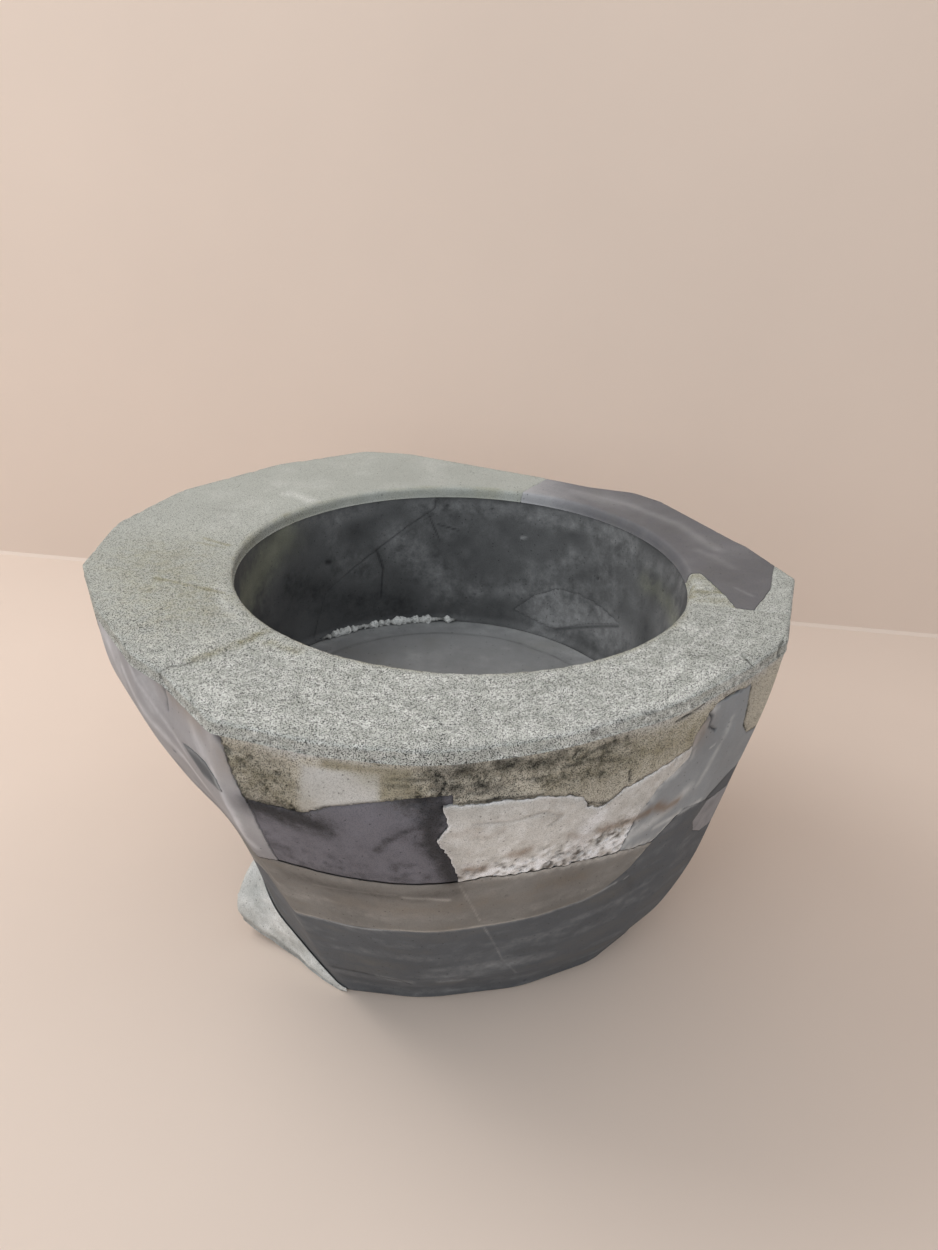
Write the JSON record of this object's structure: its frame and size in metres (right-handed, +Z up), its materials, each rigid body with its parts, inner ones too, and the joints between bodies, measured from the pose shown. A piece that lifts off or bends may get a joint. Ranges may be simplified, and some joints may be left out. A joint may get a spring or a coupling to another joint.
{
  "type": "concrete bowl planter",
  "caption": "Faceted bowl planter cast from many coloured concrete pours, with a flat rim, a round well and a drain hole.",
  "frame": {"origin": "centre of the bounding box on the plane of the foot's flat underside", "axes": "+Z up along the well's axis, +X to the right and +Y away from the viewer as the picture shows the bowl"},
  "size_m": [0.5604, 0.5606, 0.32],
  "materials": {
    "charcoal_concrete": "smooth off the mould, faint pale streaks and pinholes",
    "taupe_concrete": "smooth, cloudy",
    "slate_concrete": "smooth, purple-grey to blue-grey",
    "lime_render": "pale, rough, with a crumbled lower margin and brown stains",
    "tan_concrete": "sandy, pitted and honeycombed",
    "pale_grey_concrete": "smooth, lavender-grey bands",
    "blue_grey_concrete": "smooth",
    "sage_concrete": "fine sand texture, pinholes, olive stains",
    "liner_concrete": "mottled, seamed",
    "screed": "trowelled",
    "grout": "crumbly, speckled"
  },
  "bodies": {
    "root": {"foot_pour": "charcoal_concrete", "charcoal_course": "charcoal_concrete", "taupe_course": "taupe_concrete", "slate_patch": "slate_concrete", "lime_patch": "lime_render", "tan_course": "tan_concrete", "left_panel": "pale_grey_concrete", "left_lens": "charcoal_concrete", "right_panel": "blue_grey_concrete", "right_end": "tan_concrete", "right_wedge": "charcoal_concrete", "right_patch": "pale_grey_concrete", "back_lower_course": "blue_grey_concrete", "back_upper_course": "tan_concrete", "rim_cap": "sage_concrete", "rim_inlay": "slate_concrete", "rim_end_wedge": "sage_concrete", "lip_patch": "sage_concrete", "liner_left": "liner_concrete", "liner_back": "liner_concrete", "liner_front": "liner_concrete", "liner_lens": "liner_concrete", "well_floor": "screed", "drain_collar": "grout", "mortar_bead": "grout", "leak_fin": "grout"}
  },
  "joints": []
}
